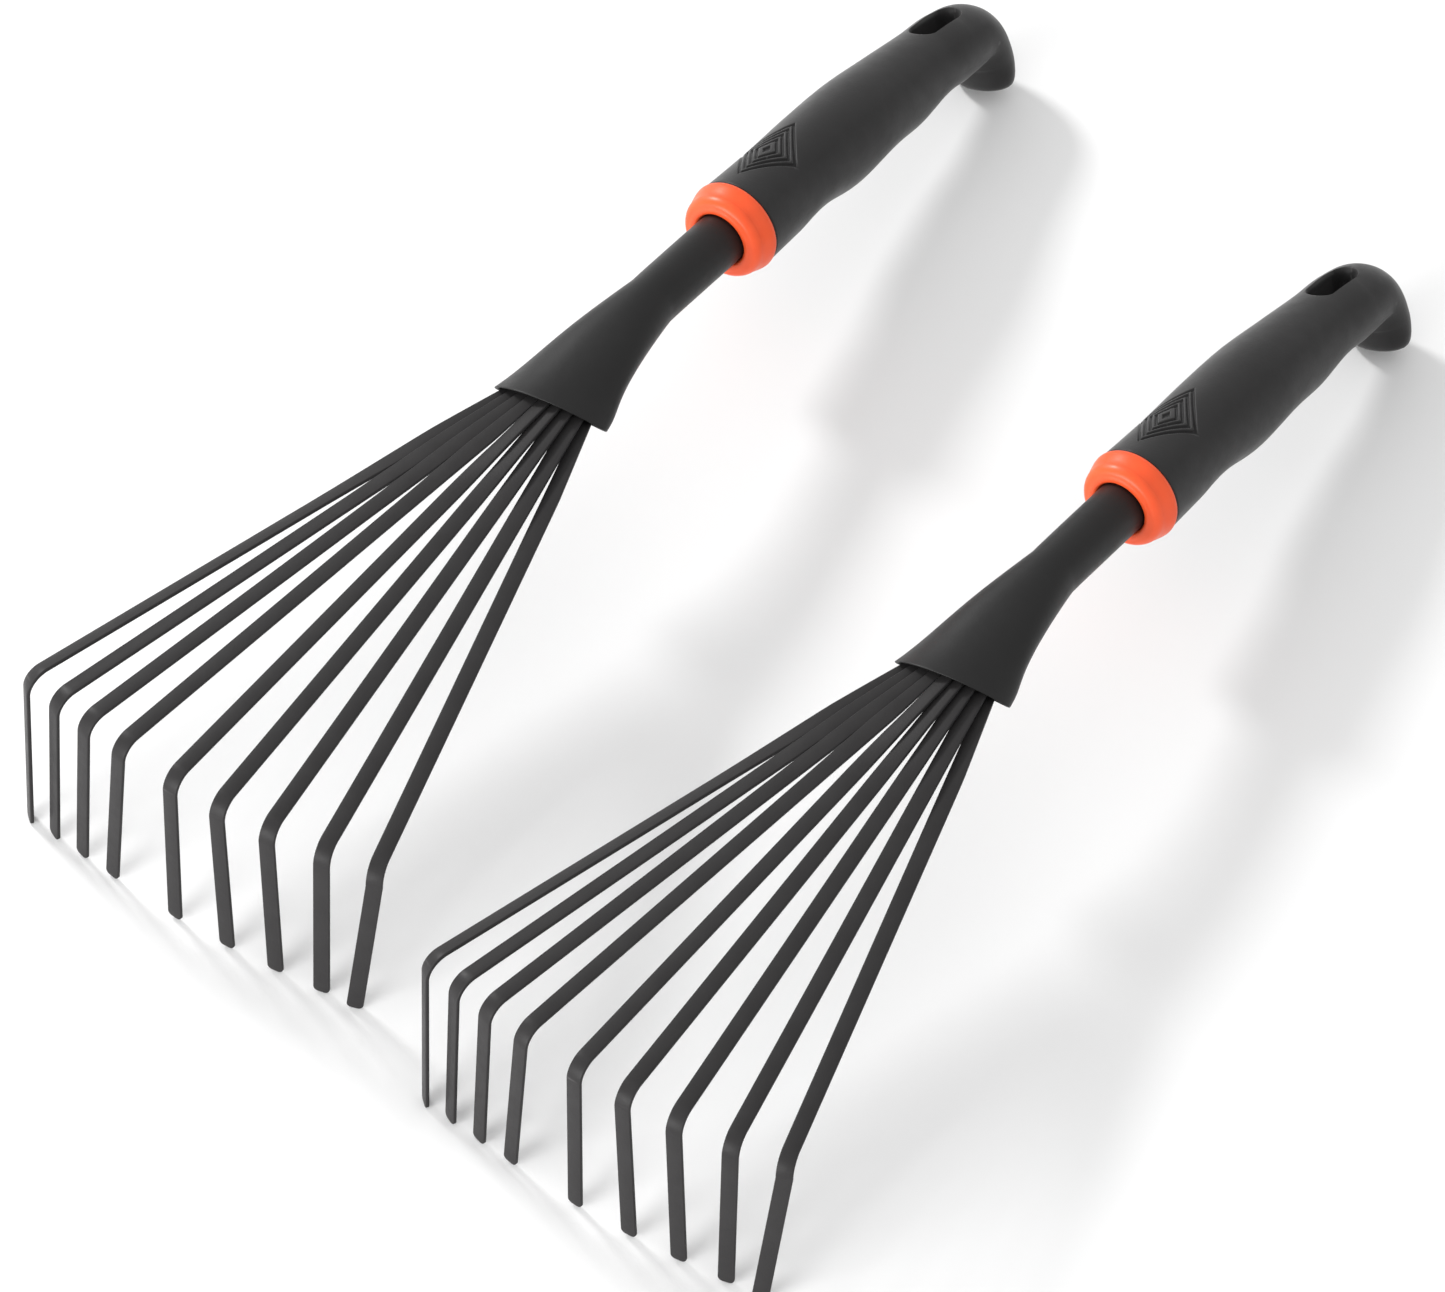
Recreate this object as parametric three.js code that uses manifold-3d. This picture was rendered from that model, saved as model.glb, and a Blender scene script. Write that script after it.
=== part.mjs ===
// A pair of hand rakes for gathering leaves. Each rake has nine flat steel tines fanned out of a
// flared steel tube, an orange collar and a soft grip moulded over a hard core.
// Millimetres, +Z up. The tines reach towards -Y, the handles towards +Y, and both rakes stand
// on their tine tips and on the hooked tail of the grip, with the floor at Z = 0.
import * as THREE from 'three';
import { mergeGeometries, mergeVertices } from 'three/addons/utils/BufferGeometryUtils.js';
import Module from 'manifold-3d';

const wasm = await Module();
wasm.setup();

const GAP = 0.3; // air left between neighbouring pieces
const DEG = Math.PI / 180;

// Tines, from left to right. The nine strips share one side profile. They were set by hand, so each
// has its own fan angle, its own twist along its length (both in degrees) and a tip that stands a
// little to one side of its arm (sway, in millimetres).
const TINES = [
  { angle: -16.6, twist: -24, sway: 3.6 },
  { angle: -13.8, twist: -12, sway: 0.9 },
  { angle: -10.9, twist: -5.5, sway: -0.6 },
  { angle: -7.5, twist: -3.5, sway: -2.8 },
  { angle: -2.1, twist: -3, sway: 1.3 },
  { angle: 2.3, twist: 0, sway: 3 },
  { angle: 6.8, twist: 1, sway: 2.3 },
  { angle: 11.6, twist: 1, sway: -0.7 },
  { angle: 16, twist: 1.5, sway: -6.9 },
];
const TINE_STEPS = (TINES.length - 1) / 2; // tines on each side of the middle one
const TINE_WIDTH = 5.2;
const TINE_THICKNESS = 1.2;
const TINE_REACH = 175; // mouth of the socket to the corner of the bend
const TINE_LEG = 60.4; // corner of the bend to the tip
const TINE_TURN = 85.3 * DEG; // how far the leg turns down from the arm
const TINE_BEND_RADIUS = 6.5; // centre line of the bend
const TINE_ROOT_DEPTH = 9; // hidden inside the socket
const TINE_ROOT_WIDTH = 2.5;
const TINE_TAPER_END = 32; // full width from here outwards
const TINE_TWIST_END = 70; // full twist from here outwards
const TINE_ARM_STATIONS = [-TINE_ROOT_DEPTH, 12, TINE_TAPER_END, 50, TINE_TWIST_END];
const TINE_TIP_CHAMFER = 1.2;
const TINE_TIP_WIDTH = 3.6;
const TINE_PITCH = 3.75; // sideways distance between roots at the mouth
const ROOT_DROP = 5.3; // how far the outermost root lies below the middle one
const BEND_DROP = 0.9; // the same at the bends
const BEND_STEPS = 6;

// Socket: a round tube flattened and flared into an arched mouth.
const TUBE_RADIUS = 8.5;
const TUBE_WALL = 1.2;
const MOUTH_HALF_WIDTH = 18.8;
const MOUTH_HALF_HEIGHT = 4.5;
const MOUTH_SQUARENESS = 2.6; // exponent of the mouth's rounded-rectangle section, 2 is an ellipse
const MOUTH_ARCH = 6.2; // drop of the mouth from its middle to its sides
const MOUTH_BULGE = 3.3; // how far the middle of the lip stands ahead of its sides
const MOUTH_UNDERCUT = 6; // how far the lower lip lies behind the upper one
const MOUTH_SKEW = 2.6; // the lip is cut a little askew, its left side ahead of its right
const MOUTH_Z = -1;
const FLARE_LENGTH = 58;
const FLARE_POWER = 1.06; // the sides widen towards the mouth by this power of the distance
const LIP_POWER = 4; // the bulge of the lip fades out much faster than the flare
const SOCKET_KINK = 10; // length over which the tube turns from the flare into the handle's pitch
const SOCKET_SEGMENTS = 28;
const SOCKET_STATIONS = [0, 3, 9, 17, 26, 35, 44, 52, 60, 68]; // distances from the mouth

// Handle: an axis through the middle of the collar's rear face, pitched down towards the tail.
const COLLAR_Y = 101.8;
const COLLAR_Z = -15.2;
const HANDLE_PITCH = -10 * DEG;
const HANDLE_ROLL = -20 * DEG; // the handle sits turned to the left on its tube
const COLLAR_LENGTH = 9.5;
const COLLAR_RADIUS = 15.4;
const COLLAR_FRONT_RADIUS = 14.2;
const COLLAR_FILLET = 3.2;
const COLLAR_FILLET_STEPS = 5;
const COLLAR_BORE_CHAMFER = 0.8;
const COLLAR_REAR_CHAMFER = 0.4;
const COLLAR_BAND = 1.4; // straight band in front of the rear chamfer
const COLLAR_RECESS = 5; // depth of the rear recess that takes the core's spigot
const CORE_RADIUS = 10.3;
const CORE_SPIGOT_RADIUS = 12;
const CORE_LENGTH = 86;
const CORE_TIP_RADIUS = 6;
const CORE_RIB_STEP = 14;
const CORE_RIB_WIDTH = 3;
const CORE_RIB_HEIGHT = 0.7;
const TUBE_IN_HANDLE = 58;
const PLUG_LENGTH = 10;
const ROUND_SEGMENTS = 24;

// Grip sections along its curved centre line: distance behind the collar, height above the
// handle axis, half width, half height. The last three turn down into the hooked tail.
const GRIP_SECTIONS = [
  { along: 0, up: 0, halfWidth: 15, halfHeight: 15 },
  { along: 7, up: 0, halfWidth: 14.8, halfHeight: 14.8 },
  { along: 22, up: 0, halfWidth: 14.4, halfHeight: 14.6 },
  { along: 41, up: -0.3, halfWidth: 14.8, halfHeight: 15.1 },
  { along: 62, up: -0.9, halfWidth: 15, halfHeight: 15.1 },
  { along: 82, up: -1.5, halfWidth: 13.7, halfHeight: 13.5 },
  { along: 99, up: -2.3, halfWidth: 12.8, halfHeight: 12.2 },
  { along: 112, up: -2.7, halfWidth: 12.7, halfHeight: 11.2 },
  { along: 122, up: -5, halfWidth: 12.4, halfHeight: 9.8 },
  { along: 125.8, up: -14, halfWidth: 12, halfHeight: 7.8 },
  { along: 125, up: -24, halfWidth: 11.4, halfHeight: 6.4 },
];
const GRIP_STATIONS = 28;
const GRIP_SEGMENTS = 28;
// Ends of the grip: share of the section's size at a share of the centre line.
const GRIP_FRONT_EDGE = [[0, 0], [0.95, 0], [1, 0.008]];
const GRIP_TAIL_EDGE = [[1, 0.955], [0.96, 0.98], [0.87, 0.993], [0.72, 1], [0, 1]];
const SCALLOP_DEPTH = 1.1; // finger hollows along the underside
const SCALLOP_COUNT = 3;
const SCALLOP_FROM = 0.16; // as shares of the centre line
const SCALLOP_TO = 0.68;
const HOLE_LENGTH = 20;
const HOLE_WIDTH = 9;
const HOLE_AT = 108; // behind the collar
const HOLE_LEAN = -8 * DEG; // leans back, square to the grip where it starts to turn down
const PAD_AT = 21; // middle of the thumb pattern, behind the collar
const PAD_HALF_LENGTHS = [15.2, 12.2, 9.2, 6.2];
const PAD_ASPECT = 0.7; // half width over half length of each rhombus
const PAD_LINE = 1.6; // groove width along the rhombus's long diagonal
const PAD_DEPTH = 0.6;
const PAD_DOT = 2;
const CUTTER_LENGTH = 40; // of the prisms that cut the hole and the thumb pattern
const BORE_LEAD = 5; // the bore's cutter starts this far in front of the grip

// Weld bar: a cross strip under the nine roots, inside the mouth.
const BAR_THICKNESS = 0.8;
const BAR_CLEARANCE = 0.8; // below the flat undersides of the roots
const BAR_FROM = 3.8;
const BAR_TO = 9.6;
const BAR_HALF_WIDTH = 8.6;
const BAR_EXTRA_DROP = 1.1; // the strip curves a little more than the row of roots it carries
const BAR_STEPS = 12;

const RAKE_SPACING = 160; // between the middle planes of the two rakes
const RAKE_STAGGER = 18; // how far the right rake lies ahead of the left one
const REST_TILT = 0.157 * DEG; // fan plane against the floor when tips and tail both touch it

const steel = () => new THREE.MeshStandardMaterial({ color: 0x3a3a3b, roughness: 0.55, metalness: 0.35 });
const softBlack = () => new THREE.MeshStandardMaterial({ color: 0x3b3a3b, roughness: 0.6, metalness: 0 });
const orange = () => new THREE.MeshStandardMaterial({ color: 0xf9633b, roughness: 0.45, metalness: 0 });
const hardPlastic = () => new THREE.MeshStandardMaterial({ color: 0x232325, roughness: 0.5, metalness: 0 });

function weldedPositions(geometry) {
  const bare = geometry.clone();
  bare.deleteAttribute('normal');
  bare.deleteAttribute('uv');
  return mergeVertices(bare);
}

function toSolid(geometry) {
  const welded = weldedPositions(geometry);
  return new wasm.Manifold(new wasm.Mesh({
    numProp: 3,
    vertProperties: new Float32Array(welded.attributes.position.array),
    triVerts: new Uint32Array(welded.index.array),
  }));
}

function toGeometry(solid) {
  const mesh = solid.getMesh();
  const geometry = new THREE.BufferGeometry();
  geometry.setAttribute('position', new THREE.BufferAttribute(new Float32Array(mesh.vertProperties), 3));
  geometry.setIndex(new THREE.BufferAttribute(new Uint32Array(mesh.triVerts), 1));
  geometry.computeVertexNormals();
  return geometry;
}

// Moves every vertex of a geometry with shape(vertex), which changes the vertex in place.
function reshape(geometry, shape) {
  const position = geometry.attributes.position;
  const vertex = new THREE.Vector3();
  for (let i = 0; i < position.count; i += 1) {
    vertex.fromBufferAttribute(position, i);
    shape(vertex);
    position.setXYZ(i, vertex.x, vertex.y, vertex.z);
  }
  const welded = weldedPositions(geometry);
  welded.computeVertexNormals();
  return welded;
}

const mix = THREE.MathUtils.lerp;
const ease = (value) => THREE.MathUtils.smoothstep(value, 0, 1);

// ---- tines ----

// Width of the strip at a distance along it: narrow at the root, corners taken off at the very tip.
function tineWidth(along, end) {
  if (along === end) return TINE_TIP_WIDTH;
  const share = (along + TINE_ROOT_DEPTH) / (TINE_TAPER_END + TINE_ROOT_DEPTH);
  return mix(TINE_ROOT_WIDTH, TINE_WIDTH, Math.min(share, 1));
}

// A flat strip with a station wherever its width, twist or direction changes, then bent to shape.
function tineGeometry({ twist, sway }) {
  const setback = TINE_BEND_RADIUS * Math.tan(TINE_TURN / 2);
  const bendStart = TINE_REACH - setback;
  const bendEnd = bendStart + TINE_BEND_RADIUS * TINE_TURN;
  const end = bendEnd + TINE_LEG - setback;
  const stations = [...TINE_ARM_STATIONS];
  for (let i = 0; i <= BEND_STEPS; i += 1) stations.push(mix(bendStart, bendEnd, i / BEND_STEPS));
  stations.push(end - TINE_TIP_CHAMFER, end);
  const last = stations.length - 1;
  const strip = new THREE.BoxGeometry(1, 1, 1, 1, last, 1);
  return reshape(strip, (v) => {
    const along = stations[Math.round((0.5 - v.y) * last)];
    const across = v.x * tineWidth(along, end);
    const offset = v.z * TINE_THICKNESS;
    const roll = twist * DEG * ease(Math.max(along, 0) / TINE_TWIST_END);
    const side = across * Math.cos(roll) + offset * Math.sin(roll);
    const above = offset * Math.cos(roll) - across * Math.sin(roll);
    const turn = THREE.MathUtils.clamp((along - bendStart) / TINE_BEND_RADIUS, 0, TINE_TURN);
    const leg = Math.max(along - bendEnd, 0);
    const out = Math.min(along, bendStart)
      + (TINE_BEND_RADIUS + above) * Math.sin(turn) + leg * Math.cos(TINE_TURN);
    const down = TINE_BEND_RADIUS - (TINE_BEND_RADIUS + above) * Math.cos(turn)
      + leg * Math.sin(TINE_TURN);
    v.set(side + (sway * leg) / (end - bendEnd), -out, -down);
  });
}

// Turns a tine to its own place: root at the mouth, fan angle, slope up to the bend.
function placeTine(mesh, index) {
  const share = (index - TINE_STEPS) / TINE_STEPS;
  const rootHeight = -ROOT_DROP * share * share;
  const bendHeight = -BEND_DROP * share * share;
  mesh.position.set(TINE_PITCH * (index - TINE_STEPS), 0, rootHeight);
  mesh.rotation.order = 'ZXY';
  mesh.rotation.z = TINES[index].angle * DEG;
  mesh.rotation.x = -Math.asin((bendHeight - rootHeight) / TINE_REACH);
}

// ---- socket ----

const handleDirection = new THREE.Vector3(0, Math.cos(HANDLE_PITCH), Math.sin(HANDLE_PITCH));
const collarRear = new THREE.Vector3(0, COLLAR_Y, COLLAR_Z);

function alongHandle(distance) {
  return collarRear.clone().addScaledVector(handleDirection, distance);
}

// Centre line of the tube: straight through the flare, one gentle kink, straight into the handle.
function socketPath() {
  const mouth = new THREE.Vector3(0, 0, MOUTH_Z);
  const corner = alongHandle((FLARE_LENGTH - COLLAR_Y) / handleDirection.y);
  const before = corner.clone().lerp(mouth, SOCKET_KINK / FLARE_LENGTH);
  const after = corner.clone().addScaledVector(handleDirection, SOCKET_KINK);
  const path = new THREE.CurvePath();
  path.add(new THREE.LineCurve3(mouth, before));
  path.add(new THREE.QuadraticBezierCurve3(before, corner, after));
  path.add(new THREE.LineCurve3(after, alongHandle(TUBE_IN_HANDLE)));
  return path;
}

// Section of the socket at a distance from the mouth.
function socketSection(distance) {
  const left = 1 - Math.min(distance / FLARE_LENGTH, 1);
  const flare = ease(left);
  return {
    halfWidth: mix(TUBE_RADIUS, MOUTH_HALF_WIDTH, left ** FLARE_POWER),
    halfHeight: mix(TUBE_RADIUS, MOUTH_HALF_HEIGHT, flare),
    squareness: mix(2, MOUTH_SQUARENESS, flare),
    arch: MOUTH_ARCH * flare * flare,
    bulge: MOUTH_BULGE * flare ** LIP_POWER,
    undercut: MOUTH_UNDERCUT * flare ** LIP_POWER,
    skew: MOUTH_SKEW * flare ** LIP_POWER,
  };
}

function roundedPoint(angle, halfWidth, halfHeight, squareness) {
  const power = 2 / squareness;
  const c = Math.cos(angle);
  const s = Math.sin(angle);
  return {
    across: halfWidth * Math.sign(c) * Math.pow(Math.abs(c), power),
    up: halfHeight * Math.sign(s) * Math.pow(Math.abs(s), power),
  };
}

function socketGeometry() {
  const path = socketPath();
  const length = path.getLength();
  const stations = [...SOCKET_STATIONS, length];
  const outer = stations.map((distance) => new THREE.Vector2(TUBE_RADIUS, distance));
  const inner = stations.map((distance) => new THREE.Vector2(TUBE_RADIUS - TUBE_WALL, distance));
  const profile = [...outer, ...inner.reverse(), outer[0]];
  const tube = new THREE.LatheGeometry(profile, SOCKET_SEGMENTS);
  return reshape(tube, (v) => {
    const distance = v.y;
    const section = socketSection(distance);
    const radius = Math.hypot(v.x, v.z);
    const angle = Math.atan2(v.z, v.x);
    const wall = TUBE_RADIUS - radius;
    const round = roundedPoint(
      angle, section.halfWidth - wall, section.halfHeight - wall, section.squareness,
    );
    const share = round.across / section.halfWidth;
    const up = round.up - section.arch * share * share;
    const below = (1 - round.up / section.halfHeight) / 2;
    const at = THREE.MathUtils.clamp(distance / length, 0, 1);
    const centre = path.getPointAt(at);
    const tangent = path.getTangentAt(at);
    const lip = section.bulge * share * share + section.undercut * below + section.skew * share;
    v.set(
      round.across,
      centre.y - tangent.z * up + lip,
      centre.z + tangent.y * up,
    );
  });
}

// ---- weld bar ----

function barGeometry() {
  const shape = new THREE.Shape();
  const inset = ((BAR_FROM + BAR_TO) / 2) * Math.sin(TINES.at(-1).angle * DEG);
  const outermost = TINE_PITCH * TINE_STEPS - inset;
  const archAt = (x) => -(ROOT_DROP + BAR_EXTRA_DROP) * (x / outermost) ** 2;
  const top = -TINE_THICKNESS / 2 - BAR_CLEARANCE;
  const xAt = (i) => mix(-BAR_HALF_WIDTH, BAR_HALF_WIDTH, i / BAR_STEPS);
  const points = [];
  for (let i = 0; i <= BAR_STEPS; i += 1) {
    points.push(new THREE.Vector2(xAt(i), archAt(xAt(i)) + top - BAR_THICKNESS));
  }
  for (let i = BAR_STEPS; i >= 0; i -= 1) {
    points.push(new THREE.Vector2(xAt(i), archAt(xAt(i)) + top));
  }
  shape.setFromPoints(points);
  const bar = new THREE.ExtrudeGeometry(shape, { depth: BAR_TO - BAR_FROM, bevelEnabled: false });
  return reshape(bar, (v) => v.set(v.x, BAR_TO - v.z, v.y));
}

// ---- handle pieces, in the handle's own frame: y back along the axis, z up ----

function turned(points, segments = ROUND_SEGMENTS) {
  const profile = points.map(([radius, along]) => new THREE.Vector2(radius, along));
  return weldedPositions(new THREE.LatheGeometry(profile, segments));
}

function collarGeometry() {
  const bore = TUBE_RADIUS + GAP;
  const recess = CORE_SPIGOT_RADIUS + GAP;
  const front = -COLLAR_LENGTH;
  const lead = COLLAR_BORE_CHAMFER;
  const points = [[bore, front + lead], [bore + lead, front]];
  for (let i = 0; i <= COLLAR_FILLET_STEPS; i += 1) {
    const angle = ((i / COLLAR_FILLET_STEPS) * Math.PI) / 2;
    points.push([
      COLLAR_FRONT_RADIUS - COLLAR_FILLET + COLLAR_FILLET * Math.sin(angle),
      front + COLLAR_FILLET - COLLAR_FILLET * Math.cos(angle),
    ]);
  }
  points.push(
    [COLLAR_RADIUS, -COLLAR_BAND], [COLLAR_RADIUS - COLLAR_REAR_CHAMFER, -GAP], [recess, -GAP],
    [recess, -COLLAR_RECESS], [bore, -COLLAR_RECESS], [bore, front + lead],
  );
  return turned(points);
}

// Hard core: spigot in the collar, ribbed barrel, blind bore for the tube.
function coreGeometry() {
  const bore = TUBE_RADIUS + GAP;
  const points = [[bore, GAP - COLLAR_RECESS], [CORE_SPIGOT_RADIUS, GAP - COLLAR_RECESS]];
  points.push([CORE_SPIGOT_RADIUS, GAP], [CORE_RADIUS, GAP]);
  for (let rib = CORE_RIB_STEP; rib < TUBE_IN_HANDLE; rib += CORE_RIB_STEP) {
    points.push(
      [CORE_RADIUS, rib - CORE_RIB_WIDTH], [CORE_RADIUS + CORE_RIB_HEIGHT, rib - CORE_RIB_WIDTH],
      [CORE_RADIUS + CORE_RIB_HEIGHT, rib], [CORE_RADIUS, rib],
    );
  }
  points.push(
    [CORE_RADIUS, TUBE_IN_HANDLE], [CORE_TIP_RADIUS, CORE_LENGTH], [0, CORE_LENGTH],
    [0, TUBE_IN_HANDLE + GAP], [bore, TUBE_IN_HANDLE + GAP], [bore, GAP - COLLAR_RECESS],
  );
  return turned(points);
}

function plugGeometry() {
  const plug = new THREE.CylinderGeometry(
    TUBE_RADIUS - TUBE_WALL - GAP, TUBE_RADIUS - TUBE_WALL - GAP, PLUG_LENGTH, ROUND_SEGMENTS,
  );
  plug.translate(0, TUBE_IN_HANDLE - PLUG_LENGTH / 2 - GAP, 0);
  return weldedPositions(plug);
}

function gripPath() {
  return new THREE.CatmullRomCurve3(
    GRIP_SECTIONS.map((section) => new THREE.Vector3(0, section.along, section.up)),
    false, 'centripetal',
  );
}

// Half width and half height at a share of the centre line, between the listed sections.
function gripSize(share) {
  const last = GRIP_SECTIONS.length - 1;
  const at = share * last;
  const index = Math.min(Math.floor(at), last - 1);
  const between = at - index;
  const from = GRIP_SECTIONS[index];
  const to = GRIP_SECTIONS[index + 1];
  return {
    halfWidth: mix(from.halfWidth, to.halfWidth, between),
    halfHeight: mix(from.halfHeight, to.halfHeight, between),
  };
}

// The grip's outer surface, everywhere inset by the same small amount.
function gripSkin(inset) {
  const path = gripPath();
  const sides = [GRIP_FRONT_EDGE.at(-1)[1], GRIP_TAIL_EDGE[0][1]];
  const profile = [...GRIP_FRONT_EDGE];
  for (let i = 1; i < GRIP_STATIONS; i += 1) profile.push([1, mix(...sides, i / GRIP_STATIONS)]);
  profile.push(...GRIP_TAIL_EDGE);
  return reshape(turned(profile, GRIP_SEGMENTS), (v) => {
    const share = THREE.MathUtils.clamp(v.y, 0, 1);
    const size = gripSize(share);
    const centre = path.getPoint(share);
    const tangent = path.getTangent(share);
    const along = THREE.MathUtils.clamp((share - SCALLOP_FROM) / (SCALLOP_TO - SCALLOP_FROM), 0, 1);
    const hollow = SCALLOP_DEPTH * Math.sin(along * SCALLOP_COUNT * Math.PI) ** 2;
    const below = Math.max(-v.z, 0) ** 2;
    const across = v.x * (size.halfWidth - inset);
    const up = v.z * (size.halfHeight - inset) + hollow * below;
    v.set(across, centre.y - tangent.z * up, centre.z + tangent.y * up);
  });
}

function stadium(length, width) {
  const straight = (length - width) / 2;
  const shape = new THREE.Shape();
  shape.moveTo(-width / 2, -straight);
  shape.absarc(0, -straight, width / 2, Math.PI, 2 * Math.PI);
  shape.absarc(0, straight, width / 2, 0, Math.PI);
  return shape;
}

function rhombus(Type, halfLength, halfWidth) {
  const shape = new Type();
  shape.moveTo(halfWidth, 0);
  shape.lineTo(0, halfLength);
  shape.lineTo(-halfWidth, 0);
  shape.lineTo(0, -halfLength);
  return shape;
}

// Upright prisms over the thumb pattern: four rhombic frames and the dot in their middle.
function padPrisms() {
  const solid = { depth: CUTTER_LENGTH, bevelEnabled: false };
  const prisms = PAD_HALF_LENGTHS.map((halfLength) => {
    const frame = rhombus(THREE.Shape, halfLength, halfLength * PAD_ASPECT);
    const inner = halfLength - PAD_LINE;
    frame.holes.push(rhombus(THREE.Path, inner, inner * PAD_ASPECT));
    return new THREE.ExtrudeGeometry(frame, solid);
  });
  const dot = rhombus(THREE.Shape, PAD_DOT, PAD_DOT * PAD_ASPECT);
  prisms.push(new THREE.ExtrudeGeometry(dot, solid));
  const all = mergeGeometries(prisms);
  all.translate(0, PAD_AT, 0);
  return all;
}

function gripGeometry() {
  const skin = toSolid(gripSkin(0));
  const grooves = toSolid(padPrisms()).subtract(toSolid(gripSkin(PAD_DEPTH)));
  const ribs = CORE_RADIUS + CORE_RIB_HEIGHT + GAP;
  const spigot = CORE_SPIGOT_RADIUS + GAP;
  const bore = toSolid(turned([
    [0, -BORE_LEAD], [spigot, -BORE_LEAD], [spigot, 2 * GAP],
    [ribs, 2 * GAP], [ribs, TUBE_IN_HANDLE + GAP],
    [CORE_TIP_RADIUS + CORE_RIB_HEIGHT + GAP, CORE_LENGTH + GAP], [0, CORE_LENGTH + GAP],
  ]));
  const hole = new THREE.ExtrudeGeometry(
    stadium(HOLE_LENGTH, HOLE_WIDTH),
    { depth: CUTTER_LENGTH, bevelEnabled: false, curveSegments: 6 },
  );
  hole.translate(0, 0, -CUTTER_LENGTH / 2);
  hole.rotateX(HOLE_LEAN);
  hole.translate(0, HOLE_AT, 0);
  return toGeometry(skin.subtract(grooves).subtract(bore).subtract(toSolid(hole)));
}

// ---- one rake, in the frame of its fan: mouth of the socket at the origin ----

function piece(name, geometry, material) {
  const mesh = new THREE.Mesh(geometry, material);
  mesh.name = name;
  return mesh;
}

function buildRake(side) {
  const rake = new THREE.Group();
  TINES.forEach((shape, index) => {
    const tine = piece(`${side}_tine_${index + 1}`, tineGeometry(shape), steel());
    placeTine(tine, index);
    rake.add(tine);
  });
  rake.add(piece(`${side}_socket_tube`, socketGeometry(), steel()));
  rake.add(piece(`${side}_tine_weld_bar`, barGeometry(), steel()));

  const handle = new THREE.Group();
  handle.position.copy(collarRear);
  handle.rotation.set(HANDLE_PITCH, HANDLE_ROLL, 0);
  handle.add(piece(`${side}_tube_plug`, plugGeometry(), hardPlastic()));
  handle.add(piece(`${side}_handle_core`, coreGeometry(), hardPlastic()));
  handle.add(piece(`${side}_grip`, gripGeometry(), softBlack()));
  handle.add(piece(`${side}_collar`, collarGeometry(), orange()));
  rake.add(handle);
  rake.rotation.x = REST_TILT;
  return rake;
}

const pair = new THREE.Group();
for (const [side, direction] of [['left', -1], ['right', 1]]) {
  const rake = buildRake(side);
  rake.position.x = direction * RAKE_SPACING / 2;
  rake.position.y = -direction * RAKE_STAGGER / 2;
  pair.add(rake);
}

// The origin sits on the floor under the middle of the pair.
const bounds = new THREE.Box3().setFromObject(pair, true);
const middle = bounds.getCenter(new THREE.Vector3());
pair.position.set(-middle.x, -middle.y, -bounds.min.z);

export default pair;
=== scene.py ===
"""A pair of nine-tine hand rakes for leaves, on a pale studio floor. Lengths are millimetres
until a mesh is made, and metres from there on."""

import math

import bpy
import numpy as np
from mathutils import Matrix, Vector


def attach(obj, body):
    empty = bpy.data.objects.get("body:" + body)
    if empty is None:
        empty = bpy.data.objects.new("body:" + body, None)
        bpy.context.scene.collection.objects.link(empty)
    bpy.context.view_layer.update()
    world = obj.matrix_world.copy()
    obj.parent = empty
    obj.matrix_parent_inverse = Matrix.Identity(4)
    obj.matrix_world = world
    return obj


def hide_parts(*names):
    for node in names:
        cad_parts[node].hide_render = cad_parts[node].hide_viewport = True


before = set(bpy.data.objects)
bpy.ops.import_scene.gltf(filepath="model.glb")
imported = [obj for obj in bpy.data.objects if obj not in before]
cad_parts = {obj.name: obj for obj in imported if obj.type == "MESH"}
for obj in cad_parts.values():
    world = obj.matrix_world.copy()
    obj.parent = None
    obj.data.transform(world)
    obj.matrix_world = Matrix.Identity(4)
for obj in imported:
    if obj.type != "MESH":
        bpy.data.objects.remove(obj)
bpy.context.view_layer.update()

MM = 0.001
FULL_TURN = 2 * math.pi
RAKE_ORIGIN = (-79.265, -16.646, 61.565)  # the left rake's socket mouth
RAKE_SPACING = 160
RAKE_STAGGER = 18
SIDES = {"left": (0, 0, 0), "right": (RAKE_SPACING, -RAKE_STAGGER, 0)}
REST_TILT = math.radians(0.157)

# Tines: fan angle and twist in degrees, and how far the tip stands to the side of the arm.
TINES = (
    (-16.6, -24, 3.6), (-13.8, -12, 0.9), (-10.9, -5.5, -0.6), (-7.5, -3.5, -2.8), (-2.1, -3, 1.3),
    (2.3, 0, 3.0), (6.8, 1, 2.3), (11.6, 1, -0.7), (16, 1.5, -6.9),
)
MIDDLE_TINE = len(TINES) // 2
LAST_TINE = len(TINES) - 1
TINE_WIDTH = 5.2
TINE_THICKNESS = 1.2
TINE_EDGE_RADIUS = 0.32
TINE_REACH = 175
TINE_LEG = 60.4
TINE_TURN = math.radians(85.3)
TINE_BEND_RADIUS = 6.5
TINE_ROOT_DEPTH = 9
TINE_ROOT_WIDTH = 2.6
TINE_TAPER_END = 24
TINE_TWIST_END = 70
TINE_TIP_RADIUS = 1.3
TINE_PITCH = 3.75
ROOT_DROP = 5.3  # of the outermost tines below the middle one, at the socket
BEND_DROP = 0.9  # the same, at the bend
TINE_CORNER_STEPS = 3
ARM_STATIONS = 40
BEND_STATIONS = 20
LEG_STATIONS = 14
TIP_SHARES = (1, 0.75, 0.5, 0.3, 0.15, 0.05, 0)  # of the tip radius, before the very end

# Where the tines leave the socket the right-hand ones lie like shingles, each left edge tucked
# under its neighbour: roll in degrees by tine, held to one distance and gone by the other.
SHINGLE_ROLL = (0, 0, 0, 0, -19, -17, -10, -6, -4)
SHINGLE_HOLD = 15
SHINGLE_GONE = 45
MIDDLE_REACH = 0.3  # extra width of the tine left of the middle one, towards it

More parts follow.
